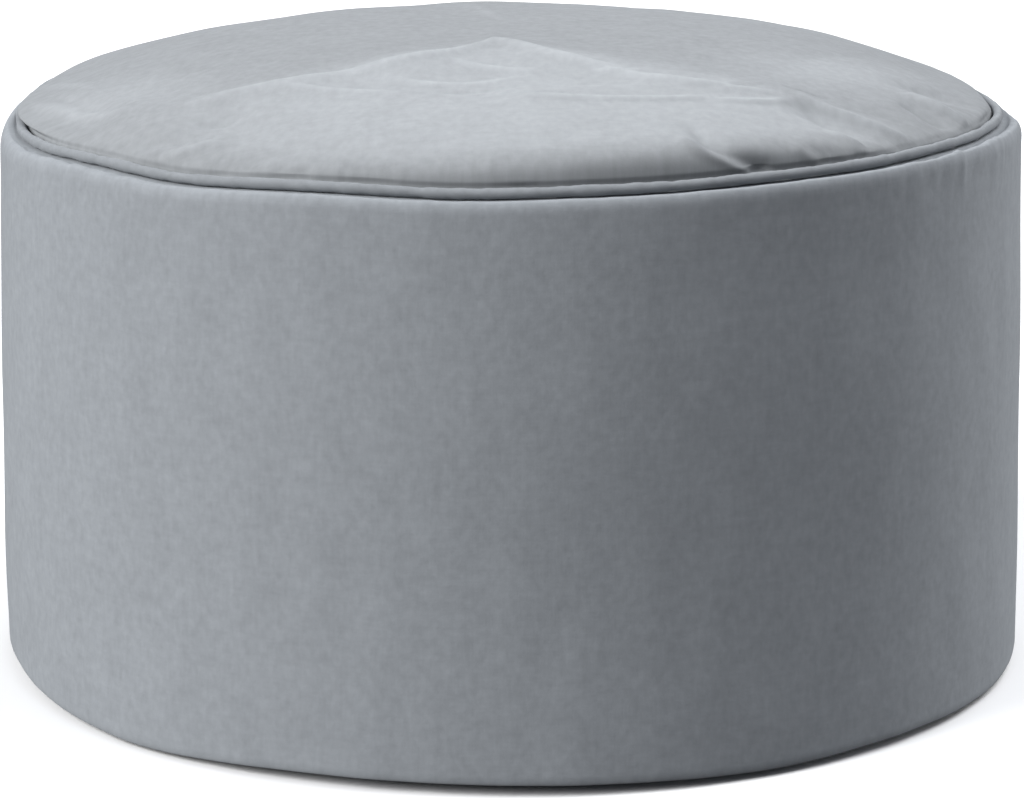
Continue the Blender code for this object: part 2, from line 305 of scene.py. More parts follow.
@dataclass(frozen=True)
class CrownForm:
    """The crown: the top panel's face with its rolled edge, dome, folds and creases."""

    seam: SeamForm
    edge_up: float = 0.0025  # the panel's edge lies this far above the groove
    rise: float = 0.0414  # from the edge up to the middle
    power: float = 3.0  # flatter in the middle, steeper at the edge
    roll_width: float = 0.0145
    roll_rise: float = 0.006
    roll_power: float = 4.0  # 2 is an ellipse; higher is squarer
    hang: float = 0.0007  # how far the roll leans out over the piping
    hang_start: float = 0.0026  # it leans out from this far above the edge
    hang_climb: float = 0.0026  # and leans out fully this far above that
    hang_width: float = 0.01
    fold_fade: float = 30.0  # power with which broad folds die out at the edge
    crease_start: float = 0.0028  # creases begin this far above the panel's edge
    crease_climb: float = 0.003  # and are full this far above that
    crease_points: int = 41  # points along the curve of a crease
    crease_sight: float = 4.0  # half widths beyond which a crease is nothing
    lean_share: float = 0.45  # how much narrower a full lean makes one side
    crease_fade: float = 0.6  # power with which a crease dies out at its ends
    slack: Waves = Waves(0.00012, 0.06, 0.06, 60, 11)
    slack_fade: int = 8
    puckers: Puckers = Puckers(0.00045, 0.35, (
        Bump(-52, 12, 0.9), Bump(-24, 10, 0.5), Bump(62, 16, 0.9), Bump(88, 8, 0.8)), 5)
    pucker_reach: float = 0.0085  # how far they run in from the edge
    pucker_start: float = 0.0015  # and how far in they are full
    roll_rises: Bumps = (
        Bump(8, 34, 0.005), Bump(-82, 36, -0.0035), Bump(94, 16, -0.0026),
        Bump(126, 16, 0.0022), Bump(18, 24, 0.0032), Bump(-84, 12, 0.0024),
        Bump(-110, 14, 0.001), Bump(-105, 9, 0.0008), Bump(27, 11, 0.0014),
        Bump(52, 20, -0.0036),
    )
    hangs: Bumps = (Bump(-83, 13, 0.006), Bump(-64, 12, 0.001), Bump(104, 12, 0.0032))
    folds: tuple[Fold, ...] = (  # broad folds over the plan, in millimetres
        # the long crest, its top a little in front of the middle
        Fold(-4, -78, -50, -108, 20, 2.4), Fold(-50, -108, -170, -126, 20, 1.8),
        Fold(-4, -78, 20, -106, 20, 2.0), Fold(20, -106, 126, -134, 18, 1.8),
        # the slack lap across the front half
        Fold(-60, -156, 70, -160, 34, -1.8), Fold(-75, -120, -20, -145, 12, -1.2),
        Fold(8, -162, 122, -132, 12, 1.6),
        # folds that run out to the right of the seam
        Fold(134, -137, 174, -146, 9, 1.8), Fold(136, -150, 154, -158, 8, -2.6),
        Fold(140, -178, 160, -176, 10, 1.2), Fold(188, -84, 208, -94, 8, 1.6),
        Fold(188, -100, 200, -109, 6, -2.0), Fold(178, -108, 186, -122, 11, 1.2),
        Fold(193, -63, 213, -57, 10, -2.8),
        # dimples and short folds on the left
        Fold(-180, -104, -158, -152, 16, 1.8), Fold(-163, -150, -150, -160, 13, 0.8),
        Fold(-128, -150, -118, -170, 14, -2.2), Fold(-156, -172, -132, -174, 10, 1.6),
        Fold(-214, -30, -178, -108, 12, 1.4), Fold(-204, -72, -190, -100, 10, -1.6),
        Fold(-98, -203, -46, -219, 12, -1.6),
        # the far side
        Fold(-165, 75, -130, 90, 28, -1.6), Fold(-20, 120, 10, 200, 24, 1.4),
    )
    creases: tuple[Crease, ...] = (
        # both arms of the long crest
        Crease(-6, -78, -26, -106, -60, -113, 3.7, 2.1, 0.4),
        Crease(-52, -111, -94, -123, -150, -125, 4.1, 2.0, 0.4),
        Crease(-12, -79, 6, -86, 18, -104, 3.6, 1.9, -0.3),
        Crease(14, -100, 26, -116, 52, -124, 3.6, 1.7, -0.4),
        Crease(42, -124, 76, -148, 124, -140, 3.0, 2.0, -0.3),
        # fine lines across the slack front
        Crease(-60, -124, -28, -152, 6, -134, 2.5, 1.5, 0.3),
        Crease(-34, -150, -14, -153, 6, -145, 2.1, -1.2),
        Crease(-110, -121, -78, -142, -48, -150, 2.3, 1.4, 0.3),
        Crease(-27, -110, -6, -126, 16, -128, 2.4, 1.3, 0.2),
        Crease(4, -164, 52, -172, 94, -153, 1.9, 1.7, 0.3),
        Crease(88, -158, 110, -157, 128, -142, 2.3, 1.7, 0.3),
        Crease(37, -128, 48, -131, 62, -125, 2.3, 1.2, 0.2),
        Crease(10, -144, 34, -151, 60, -145, 1.9, -0.6),
        Crease(84, -146, 104, -142, 121, -126, 1.9, -0.8),
        Crease(-24, 98, -14, 50, 1, 0, 3.7, 0.8),
        # folds that run out to the right
        Crease(124, -129, 134, -130, 150, -122, 2.5, -1.2),
        Crease(130, -137, 156, -149, 180, -146, 2.5, 2.4, 0.4),
        Crease(134, -152, 147, -165, 163, -167, 3.6, -1.6),
        Crease(140, -168, 149, -175, 159, -168, 2.7, 1.8, 0.4),
        Crease(186, -82, 203, -96, 215, -95, 2.8, 3.0, 0.4),
        Crease(182, -100, 189, -109, 200, -114, 3.0, -1.8),
        Crease(190, -62, 199, -54, 210, -58, 3.4, -1.2),
        Crease(222, -78, 228, -62, 230, -46, 1.9, -1.4),
        Crease(128, -194, 138, -190, 147, -182, 3.0, -1.2),
        Crease(128, -70, 156, -40, 190, 32, 7.0, -0.8),
        # along the piping on the left of the front
        Crease(-104, -208, -94, -216, -86, -217, 2.5, -1.4),
        Crease(-74, -220, -62, -226, -48, -228, 2.7, -1.2),
        # the left side
        Crease(-226, -24, -208, -80, -176, -112, 3.4, 1.3, -0.3),
        Crease(-166, -157, -154, -165, -142, -167, 3.2, -1.8),
        Crease(-158, -172, -144, -178, -130, -173, 2.7, 1.6, 0.3),
        Crease(-143, -149, -134, -153, -125, -152, 3.0, -1.2),
        Crease(-224, 12, -216, -10, -203, -33, 2.7, 1.0, 0.2),
        Crease(-219, -30, -212, -44, -205, -56, 2.4, -1.0),
    )
    roll_folds: tuple[Fold, ...] = (  # bearings, and millimetres above the edge
        Fold(19.6, 16.5, 25.8, 3, 2.2, 1.8), Fold(22.4, 17, 27.8, 3, 4.6, -3),
        Fold(33, 10, 35, 4, 3, 0.9), Fold(40.5, 9, 42.5, 4, 2.6, 0.8),
        Fold(46, 10, 48.5, 4, 3, -0.8), Fold(-2, 12, 1, 4, 5, 0.6),
        Fold(-29, 9, -33, 4, 4, -0.8), Fold(-47, 8, -50, 3, 4, -0.9),
    )

    @property
    def radius(self) -> float:
        """Radius of the panel's edge, just inside the piping."""
        return self.seam.ring - self.seam.piping_radius - self.seam.gap

    def bearing_and_reach(self, plan: Grid) -> tuple[Grid, Grid]:
        """The bearing of places on the plan and their share of the way to the edge."""
        x, y = plan[..., 0], plan[..., 1]
        return np.arctan2(x, -y), np.minimum(np.hypot(x, y) / self.radius, 1.0)

    def crease_height(self, plan: Grid) -> Grid:
        """Height of the narrow creases.

        Each crease is a curve (1-t)^2 * start + 2t(1-t) * bend + t^2 * end. A point's
        height is a bell curve of its distance to the nearest point of the curve, wider
        on one side by the lean, times a power of sin(pi * t) so that the crease dies
        out at its ends.

        Args:
            plan: Places on the plan; their first two coordinates count.

        Returns:
            The height of all creases at each place.
        """
        place = plan[..., :2] / MILLIMETRE
        total = np.zeros(place.shape[:-1])
        for row in self.creases:
            knots = np.array(((row.x0, row.y0), (row.xb, row.yb), (row.x1, row.y1)))
            reach = self.crease_sight * row.half_width
            near = ((place > knots.min(0) - reach) & (place < knots.max(0) + reach)).all(-1)
            total[near] += self.one_crease(row, *place[near].T)
        return total * MILLIMETRE

    def one_crease(self, row: Crease, x: Grid, y: Grid) -> Grid:
        """Height of one crease at each point, in millimetres, as crease_height says."""
        t = np.linspace(0.0, 1.0, self.crease_points)
        curve_x = (1 - t) ** 2 * row.x0 + 2 * t * (1 - t) * row.xb + t ** 2 * row.x1
        curve_y = (1 - t) ** 2 * row.y0 + 2 * t * (1 - t) * row.yb + t ** 2 * row.y1
        run_x, run_y = np.diff(curve_x), np.diff(curve_y)
        from_x, from_y = x[:, None] - curve_x[:-1], y[:, None] - curve_y[:-1]
        along, away = from_line(from_x, from_y, run_x, run_y)
        nearest = away.argmin(axis=1)
        pick = np.arange(len(x)), nearest
        side = np.sign(from_x * run_y - from_y * run_x)[pick]
        reach = row.half_width * (1.0 - self.lean_share * row.lean * side)
        place = np.clip((nearest + along[pick]) / len(run_x), 0.0, 1.0)
        body = np.sin(math.pi * place) ** self.crease_fade
        return row.height * body * bell(away[pick] / reach)

    def roll_fold_height(self, bearing: Grid, up: Grid) -> Grid:
        """Height of the folds down the roll, laid out flat as arc length and height up."""
        degree = math.radians(self.radius) / MILLIMETRE
        return fold_sum(self.roll_folds, np.degrees(bearing), up / MILLIMETRE, degree)

    def plain_height(self, plan: Grid) -> Grid:
        """Height of the crown without its narrow creases.

        The edge follows the seam. The rolled edge is a quarter of a squared ellipse,
        (1 - (1 - inward) ^ n) ^ (1 / n). The dome is 1 - reach ^ power, where reach is
        the share of the way from middle to edge.

        Args:
            plan: Places on the plan; their first two coordinates count.

        Returns:
            The height of edge, roll, dome and broad folds together.
        """
        bearing, reach = self.bearing_and_reach(plan)
        inward = np.clip((1.0 - reach) * self.radius / self.roll_width, 0.0, 1.0)
        roll_rise = self.roll_rise + soft_sum(self.roll_rises, bearing)
        roll = (1.0 - (1.0 - inward) ** self.roll_power) ** (1.0 / self.roll_power)
        dome = (self.rise - roll_rise) * (1.0 - reach ** self.power)
        edge = self.seam.height + self.edge_up + self.seam.rise(bearing) * reach ** 2
        x, y = plan[..., 0] / MILLIMETRE, plan[..., 1] / MILLIMETRE
        folds = fold_sum(self.folds, x, y) * (1.0 - reach ** self.fold_fade)
        return edge + roll_rise * roll + dome + folds

    def fine_height(self, plan: Grid, height: Grid) -> Grid:
        """Height of narrow creases, slack unevenness and puckers beside the piping.

        Args:
            plan: Places on the plan; their first two coordinates count.
            height: Height of the plain crown there.

        Returns:
            How far the cloth stands out from the plain crown. Ridges begin above the
            piping and troughs at the edge, each by a smooth step of the height.
        """
        bearing, reach = self.bearing_and_reach(plan)
        up = height - (self.seam.groove(bearing) + self.edge_up)
        creases = self.crease_height(plan) + self.roll_fold_height(bearing, up)
        begun = smooth_step((up - self.crease_start) / self.crease_climb)
        creases *= np.where(creases > 0.0, begun, smooth_step(up / self.crease_start))
        slack = self.slack.over(plan[..., 0], plan[..., 1])
        slack *= 1.0 - reach ** self.slack_fade
        inward = (1.0 - reach) * self.radius
        beside = np.exp(-inward / self.pucker_reach)
        beside = beside * np.clip(inward / self.pucker_start, 0.0, 1.0)
        return creases + slack + beside * self.puckers.along(bearing)

    def overhang(self, bearing: Grid, radius: Grid, height: Grid) -> Grid:
        """How far the roll leans out over the piping.

        Args:
            bearing: Bearings in radians.
            radius: Distance from the axis before the roll leans out.
            height: Height of the face there.

        Returns:
            The lean: nothing below hang_start, then a smooth step up to the full
            amount, dying out inwards as a bell curve of hang_width.
        """
        edge = self.seam.groove(bearing) + self.edge_up
        climb = smooth_step((height - edge - self.hang_start) / self.hang_climb)
        inward = bell((self.radius - radius) / self.hang_width)
        return (self.hang + soft_sum(self.hangs, bearing)) * inward * climb


@dataclass(frozen=True)
class WallForm:
    """The side band's wall: it spreads towards the floor and swells here and there."""

    top_radius: float = 0.25
    low_radius: float = 0.2542
    top_height: float = 0.25
    taper_power: float = 1.6
    waves: tuple[Waves, ...] = (  # soft upright unevenness, from side to side and back
        Waves(0.0001, 0.05, 0.19, 16, 21), Waves(0.0001, 0.05, 0.19, 16, 22),
    )
    swells: tuple[Swell, ...] = (
        Swell(-42, 0.008, 13, 0.03, 0.0016), Swell(-74, 0.01, 12, 0.025, -0.0012),
        Swell(-34, 0.085, 16, 0.06, -0.0012), Swell(-12, 0.16, 14, 0.07, 0.001),
        Swell(24, 0.11, 18, 0.07, -0.0012), Swell(44, 0.225, 34, 0.03, -0.0009),
        Swell(64, 0.03, 16, 0.04, 0.001), Swell(18, 0, 26, 0.05, 0.002),
        Swell(140, 0.1, 24, 0.08, 0.0014), Swell(-140, 0.15, 24, 0.08, -0.0012),
    )

    def radius(self, bearing: Grid, height: Grid) -> Grid:
        """Radius of the wall: a power taper plus a bell curve for each swell."""
        taper = self.low_radius - self.top_radius
        radius = self.low_radius - taper * (height / self.top_height) ** self.taper_power
        for row in self.swells:
            across = turn_between(bearing, row.bearing_deg) / row.spread_deg
            along = (height - row.height) / row.half_height
            radius = radius + row.out * bell(across) * bell(along)
        return radius

    def ripples(self, bearing: Grid, height: Grid) -> Grid:
        """Soft upright waves of the wall, the same at both ends of a full turn."""
        sides = self.low_radius * np.sin(bearing), self.low_radius * np.cos(bearing)
        return sum(waves.over(side, height) for waves, side in zip(self.waves, sides))


@dataclass(frozen=True)
class BaseForm:
    """The base: flat on the floor, its rim turned up to the base seam."""

    lift: float = 0.0041  # height of the base seam over the floor
    flat_radius: float = 0.236
    radius: float = 0.249  # cut edge of the base panel
    middle: float = 0.02  # radius of the innermost ring
    curve_power: float = 1.8
    lifts: Bumps = (
        Bump(-42, 13, -0.0024), Bump(-74, 10, 0.002), Bump(27, 10, -0.001),
        Bump(-10, 30, 0.0014), Bump(62, 10, -0.0008), Bump(150, 30, 0.0008),
    )

    def seam_lift(self, bearing: Grid) -> Grid:
        """Height of the base seam over the floor."""
        return self.lift + soft_sum(self.lifts, bearing)

    def curve(self, radius: Grid, bearing: Grid) -> Grid:
        """Height of the base's lower face: flat, then a power curve up to the seam."""
        turn = (radius - self.flat_radius) / (self.radius - self.flat_radius)
        return self.seam_lift(bearing) * np.clip(turn, 0.0, None) ** self.curve_power


# ---- meshes from grids


class RowEnds(Enum):
    """How the first and the last row of a ring surface end."""

    POLES = "a point closes each end"
    JOINED = "the last row meets the first"


def bearings(steps: int) -> Grid:
    """Bearings once round, from the back by the left to the front and by the right.

    Args:
        steps: Number of bearings.

    Returns:
        pi * (c * t + (1 - c) * t ^ 3) for even steps of t from -1 to 1, so that they
        lie closer together in front, where c is FRONT_CLOSENESS.
    """
    turn = np.linspace(-1.0, 1.0, steps, endpoint=False)
    return math.pi * (FRONT_CLOSENESS * turn + (1.0 - FRONT_CLOSENESS) * turn ** 3)


def ring_points(bearing: Grid, radius: Grid, height: Grid) -> Grid:
    """Points at a bearing, radius and height: x = r sin b, y = -r cos b."""
    bearing, radius, height = np.broadcast_arrays(bearing, radius, height)
    return np.stack((radius * np.sin(bearing), -radius * np.cos(bearing), height), axis=-1)


def grid_normals(points: Grid) -> Grid:
    """Unit normals of a grid of rows that run once round, from the runs both ways."""
    outward = np.gradient(points, axis=0)
    around = np.roll(points, -1, axis=1) - np.roll(points, 1, axis=1)
    normal = np.cross(outward, around)
    return normal / np.linalg.norm(normal, axis=-1, keepdims=True)


def round_chart(steps: int, radius: float, down: Grid) -> Grid:
    """Cloth places of a strip that lies once round a radius, at its rows' places down."""
    around = np.append(bearings(steps), math.pi) * radius
    return np.stack(np.broadcast_arrays(around[None, :], down[:, None]), axis=-1)


def put_in_scene(name: str, data: bpy.types.ID) -> bpy.types.Object:
    """A new object of this name and data, linked into the scene."""
    thing = bpy.data.objects.new(name, data)
    bpy.context.scene.collection.objects.link(thing)
    return thing


@dataclass
class RingSurface:
    """A surface of rows that each run once round, closed at its ends.

    points has a row for each ring and a column for each step round it. chart gives
    the place in the cloth of each grid corner, with one more column than points, and
    one more row where the rows are joined. wear_and_light is how scuffed each point is,
    and on the top panel also its painted highlight.
    """

    name: str
    points: Grid
    chart: Grid
    wear_and_light: Grid
    ends: RowEnds = RowEnds.POLES

    def corner_grid(self) -> tuple[Grid, Grid]:
        """The vertex and the chart entry at the four corners of every quad."""
        rows, steps = self.points.shape[:2]
        spans = rows if self.ends is RowEnds.JOINED else rows - 1
        row, step = np.meshgrid(np.arange(spans), np.arange(steps), indexing="ij")
        around = ((0, 0), (1, 0), (1, 1), (0, 1))
        vertex = [((row + a) % rows) * steps + (step + b) % steps for a, b in around]
        entry = [(row + a) * (steps + 1) + step + b for a, b in around]
        return np.stack(vertex, -1).ravel(), np.stack(entry, -1).ravel()

    def build(self) -> bpy.types.Object:
        """The surface as a mesh object with its weave map and its scuff and highlight
        layer.

        Returns:
            The new object, smooth, with its faces pointing outwards if the rows run
            outwards over the top, down the wall and back in under the base.
        """
        rows, steps = self.points.shape[:2]
        points, chart = self.points.reshape(-1, 3), self.chart.reshape(-1, 2)
        wear_and_light = self.wear_and_light.reshape(-1)
        vertex, entry = self.corner_grid()
        totals = np.full(len(vertex) // 4, 4)
        step = np.arange(steps)
        poles = ((0, -1), (rows - 1, 1)) if self.ends is RowEnds.POLES else ()
        # a fan of triangles round each pole, the first one turned the other way
        for row, order in poles:
            ring, mark = row * steps, row * (steps + 1)
            pair = (ring + (step + 1) % steps, ring + step)[::order]
            marks = (mark + step + 1, mark + step)[::order]
            fan = np.stack((np.full(steps, len(points)), *pair), -1)
            fan_chart = np.stack((np.full(steps, len(chart)), *marks), -1)
            points = np.vstack((points, points[ring:ring + steps].mean(0)))
            chart = np.vstack((chart, chart[mark:mark + steps].mean(0)))
            wear_and_light = np.append(wear_and_light, wear_and_light[ring:ring + steps].mean())
            vertex, entry = np.append(vertex, fan), np.append(entry, fan_chart)
            totals = np.append(totals, np.full(steps, 3))
        mesh = bpy.data.meshes.new(self.name)
        mesh.vertices.add(len(points))
        mesh.vertices.foreach_set("co", points.ravel())
        mesh.loops.add(len(vertex))
        mesh.loops.foreach_set("vertex_index", vertex)
        mesh.polygons.add(len(totals))
        mesh.polygons.foreach_set("loop_start", np.cumsum(totals) - totals)
        mesh.update(calc_edges=True)
        mesh.validate()
        mesh.uv_layers.new(name=WEAVE_MAP).data.foreach_set("uv", chart[entry].ravel())
        mesh.attributes.new(WEAR_AND_LIGHT_LAYER, "FLOAT", "POINT").data.foreach_set("value", wear_and_light)
        mesh.shade_smooth()
        return put_in_scene(self.name, mesh)


# ---- finish of the cloth


class Grain(Enum):
    """How the threads lie against a piece's weave map, in degrees."""

    STRAIGHT = 0.0
    BIAS = 45.0


class Pattern(Enum):
    """Noise patterns of the cloth: the scale along three directions, and the detail."""

    THREAD_PULL = ((90.0, 90.0, 1.0), 2.0)
    WARP_STREAK = ((520.0, 90.0, 1.0), 2.0)
    WEFT_STREAK = ((90.0, 520.0, 1.0), 2.0)
    CLOUD = ((60.0, 60.0, 45.0), 3.0)
    MOTTLE = ((230.0, 170.0, 1.0), 2.0)
    SPECKLE = ((1500.0, 1500.0, 1.0), 1.0)
    CRINKLE = ((160.0, 160.0, 1.0), 3.0)
    WRINKLE = ((16.0, 95.0, 1.0), 3.0)


class NodeBench:
    """Adds nodes to a material and joins them, so that formulas read in one line."""

    def __init__(self, owner: bpy.types.ID) -> None:
        """Give a material or world an empty node tree that the nodes go into."""
        owner.use_nodes = True
        self.tree = owner.node_tree
        self.tree.nodes.clear()

    def add(self, kind: str, **values: object) -> bpy.types.Node:
        """A new node with its inputs set or joined.

        Args:
            kind: The node's type, without "ShaderNode".
            values: Input names, with _ for a space, and their number or socket.

        Returns:
            The new node.
        """
        node = self.tree.nodes.new("ShaderNode" + kind)
        for name, value in values.items():
            self.feed(node.inputs[name.replace("_", " ")], value)
        return node

    def feed(self, socket: Socket, value: object) -> None:
        """Join a socket to another one, or give it a number or a vector."""
        if isinstance(value, Socket):
            self.tree.links.new(value, socket)
        else:
            socket.default_value = value

    def math(self, operation: str, *values: object) -> Socket:
        """The outcome of one Math node."""
        node = self.tree.nodes.new("ShaderNodeMath")
        node.operation = operation
        for socket, value in zip(node.inputs, values):
            self.feed(socket, value)
        return node.outputs[0]

    def add_up(self, total: Socket | float, *parts: tuple[Socket, float]) -> Socket:
        """The total so far plus each part times its share."""
        for part, share in parts:
            total = self.math("MULTIPLY_ADD", part, share, total)
        return total

    def noise(self, place: Socket, pattern: Pattern) -> Socket:
        """A noise pattern over a place, from -1 to 1."""
        stretch, detail = pattern.value
        spread = self.add("Mapping", Vector=place, Scale=stretch)
        noise = self.add("TexNoise", Vector=spread.outputs[0], Scale=1.0, Detail=detail)
        return self.math("MULTIPLY_ADD", noise.outputs["Fac"], 2.0, -1.0)


@dataclass(frozen=True)
class WovenCloth:
    """Plain-woven cloth: its threads, streaks, cloudy shade, crinkle, scuffs and painted
    highlight.
    """

    slot: str
    colour: Colour
    grain: Grain = Grain.STRAIGHT
    thread_pitch: float = 0.00062
    thread_relief: float = 0.000017
    thread_dip: float = 0.4  # how far a thread dips where it crosses another
    thread_wander: float = 0.5
    crinkle: float = 0.00008
    wrinkle: float = 0.0  # relief of long shallow wrinkles across the cloth
    streaks: float = 0.1
    cloud: float = 0.095
    mottle: float = 0.15
    speckle: float = 0.035
    lightening: float = 0.1  # how much lighter the cloth is where it is scuffed and where it has painted highlight
    roughness: float = 0.82
    streak_roughness: float = 0.06
    rubbed_roughness: float = 0.05
    specular: float = 0.25
    sheen: float = 0.16
    sheen_roughness: float = 0.45
    sheen_tint: tuple[float, float, float, float] = (0.9, 0.95, 1.0, 1.0)

    def material(self) -> bpy.types.Material:
        """The cloth as a material with its relief, shade and roughness.

        Returns:
            A Principled material. A warp thread is a ridge |sin(pi u)| across its
            width and a weft thread |sin(pi v)|, and the one on top changes from
            crossing to crossing by the sign of sin(pi u) * sin(pi v).
        """
        material = bpy.data.materials.new(self.slot + "_finish")
        bench = NodeBench(material)
        chart = bench.add("UVMap")
        chart.uv_map = WEAVE_MAP
        turned = bench.add("Mapping", Vector=chart.outputs[0],
                           Rotation=(0.0, 0.0, math.radians(self.grain.value)))
        place = turned.outputs[0]
        solid = bench.add("TexCoord").outputs["Object"]
        # the scuff and highlight layer lightens the colour; on the top panel it is painted
        # highlight
        wear_and_light_node = bench.add("Attribute")
        wear_and_light_node.attribute_name = WEAR_AND_LIGHT_LAYER
        wear_and_light = wear_and_light_node.outputs["Fac"]
        ways = Pattern.WARP_STREAK, Pattern.WEFT_STREAK
        both = bench.math("ADD", *(bench.noise(place, way) for way in ways))
        streak = bench.math("MULTIPLY", both, 0.5)
        shade = bench.add_up(1.0, (streak, self.streaks),
                             (bench.noise(solid, Pattern.CLOUD), self.cloud),
                             (bench.noise(place, Pattern.MOTTLE), self.mottle),
                             (bench.noise(place, Pattern.SPECKLE), self.speckle),
                             (wear_and_light, self.lightening))
        colour = bench.add("VectorMath", Vector=self.colour)
        colour.operation = "SCALE"
        bench.feed(colour.inputs["Scale"], shade)
        rough = bench.add_up(self.roughness, (streak, self.streak_roughness),
                             (wear_and_light, self.rubbed_roughness))
        wrinkle = bench.math("ABSOLUTE", bench.noise(place, Pattern.WRINKLE))
        weave = bench.math("MULTIPLY", self.weave_height(bench, place), self.thread_relief)
        relief = bench.add_up(weave, (bench.noise(place, Pattern.CRINKLE), self.crinkle),
                              (wrinkle, self.wrinkle))
        bump = bench.add("Bump", Height=relief, Strength=1.0, Distance=1.0)
        shader = bench.add("BsdfPrincipled", Base_Color=colour.outputs[0], Roughness=rough,
                           Normal=bump.outputs[0], Specular_IOR_Level=self.specular,
                           Sheen_Weight=self.sheen, Sheen_Roughness=self.sheen_roughness,
                           Sheen_Tint=self.sheen_tint)
        bench.add("OutputMaterial", Surface=shader.outputs[0])
        return material

    def weave_height(self, bench: NodeBench, place: Socket) -> Socket:
        """Height of the threads from 0 to 1, as the material's docstring says."""
        pull = bench.noise(place, Pattern.THREAD_PULL)
        split = bench.add("SeparateXYZ", Vector=place)
        waves = []
        for axis in ("X", "Y"):
            count = bench.math("MULTIPLY", split.outputs[axis], math.pi / self.thread_pitch)
            angle = bench.add_up(count, (pull, self.thread_wander))
            waves.append(bench.math("SINE", angle))
        warp, weft = (bench.math("ABSOLUTE", wave) for wave in waves)
        flat = 1.0 - self.thread_dip
        warp_up = bench.math("MULTIPLY", warp, bench.add_up(flat, (weft, self.thread_dip)))
        weft_up = bench.math("MULTIPLY", weft, bench.add_up(flat, (warp, self.thread_dip)))
        over = bench.math("GREATER_THAN", bench.math("MULTIPLY", *waves), 0.0)
        gain = bench.math("SUBTRACT", warp_up, weft_up)
        return bench.math("MULTIPLY_ADD", over, gain, weft_up)


@dataclass(frozen=True)
class PaintedLightPatch:
    """A slanting patch of painted highlight: its middle, its turn, its strength and its
    size.
    """

    x: float
    y: float
    turn_deg: float
    strength: float
    half_length: float = 0.06
    half_width: float = 0.03

    def over(self, x: Grid, y: Grid) -> Grid:
        """The painted highlight: a bell curve over the turned ellipse."""
        x, y, turn = x - self.x, y - self.y, math.radians(self.turn_deg)
        along = (x * math.cos(turn) + y * math.sin(turn)) / self.half_length
        across = (y * math.cos(turn) - x * math.sin(turn)) / self.half_width
        return self.strength * bell(np.hypot(along, across))


@dataclass(frozen=True)
class PaintedTopLight:
    """Painted highlight on the top: lighter in front of the crest and at both sides."""

    crest: tuple[float, float] = (-0.004, -0.066)  # its top, where its two arms begin
    slopes: tuple[float, float] = (0.32, 0.46)  # of the left and the right arm
    arm: float = 0.13
    fade: float = 0.034
    front: tuple[float, float] = (0.03, -0.15)  # middle of the rubbed front
    half_widths: tuple[float, float] = (0.18, 0.26)  # to its left and right
    half_depth: float = 0.11
    roll_fade: float = 0.02
    # a patch of painted highlight at each side
    sides: tuple[PaintedLightPatch, ...] = (
        PaintedLightPatch(0.155, -0.072, 40, 0.9), PaintedLightPatch(-0.185, -0.075, -50, 0.6),
    )

    def over(self, plan: Grid, radius: float) -> Grid:
        """The painted highlight over the plan.

        Args:
            plan: Places on the plan.
            radius: Radius of the panel's edge.

        Returns:
            The painted highlight from 0 to 1: a smooth step in front of the crest's
            two arms, times a bell curve of the distance to the front's middle, plus a
            patch at each side, all dying out by a smooth step towards the roll.
        """
        x, y = plan[..., 0], plan[..., 1]
        along = np.minimum(np.abs(x - self.crest[0]), self.arm)
        arm = np.where(x < 0.0, *self.slopes) * along
        before = smooth_step((self.crest[1] - arm - y) / self.fade)
        across = (x - self.front[0]) / np.where(x < self.front[0], *self.half_widths)
        away = np.hypot(across, (y - self.front[1]) / self.half_depth)
        painted_top_light = before * bell(away ** 2) + sum(patch.over(x, y) for patch in self.sides)
        inward = smooth_step((radius - np.hypot(x, y)) / self.roll_fade)
        return inward * np.clip(painted_top_light, 0.0, 1.0)


# ---- pieces


@dataclass
class SewnPiece:
    """What every sewn piece has: its name, the solid it stands for, and its cloth."""

    name: str
    stands_for: str
    cloth: WovenCloth

    def surface(self) -> RingSurface:
        """The piece's surface; each kind of piece makes its own."""
        raise NotImplementedError

    def declare(self, piece: bpy.types.Object) -> None:
        """A step for saying what kind of soft piece it is; it does nothing."""

    def make(self) -> None:
        """Build the piece, dress it and put it on the frame."""
        piece = self.surface().build()
        piece.data.materials.append(self.cloth.material())
        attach(piece, ROOT_BODY)
        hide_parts(self.stands_for)
        self.declare(piece)
        LOG.info("%s: %d faces", self.name, len(piece.data.polygons))


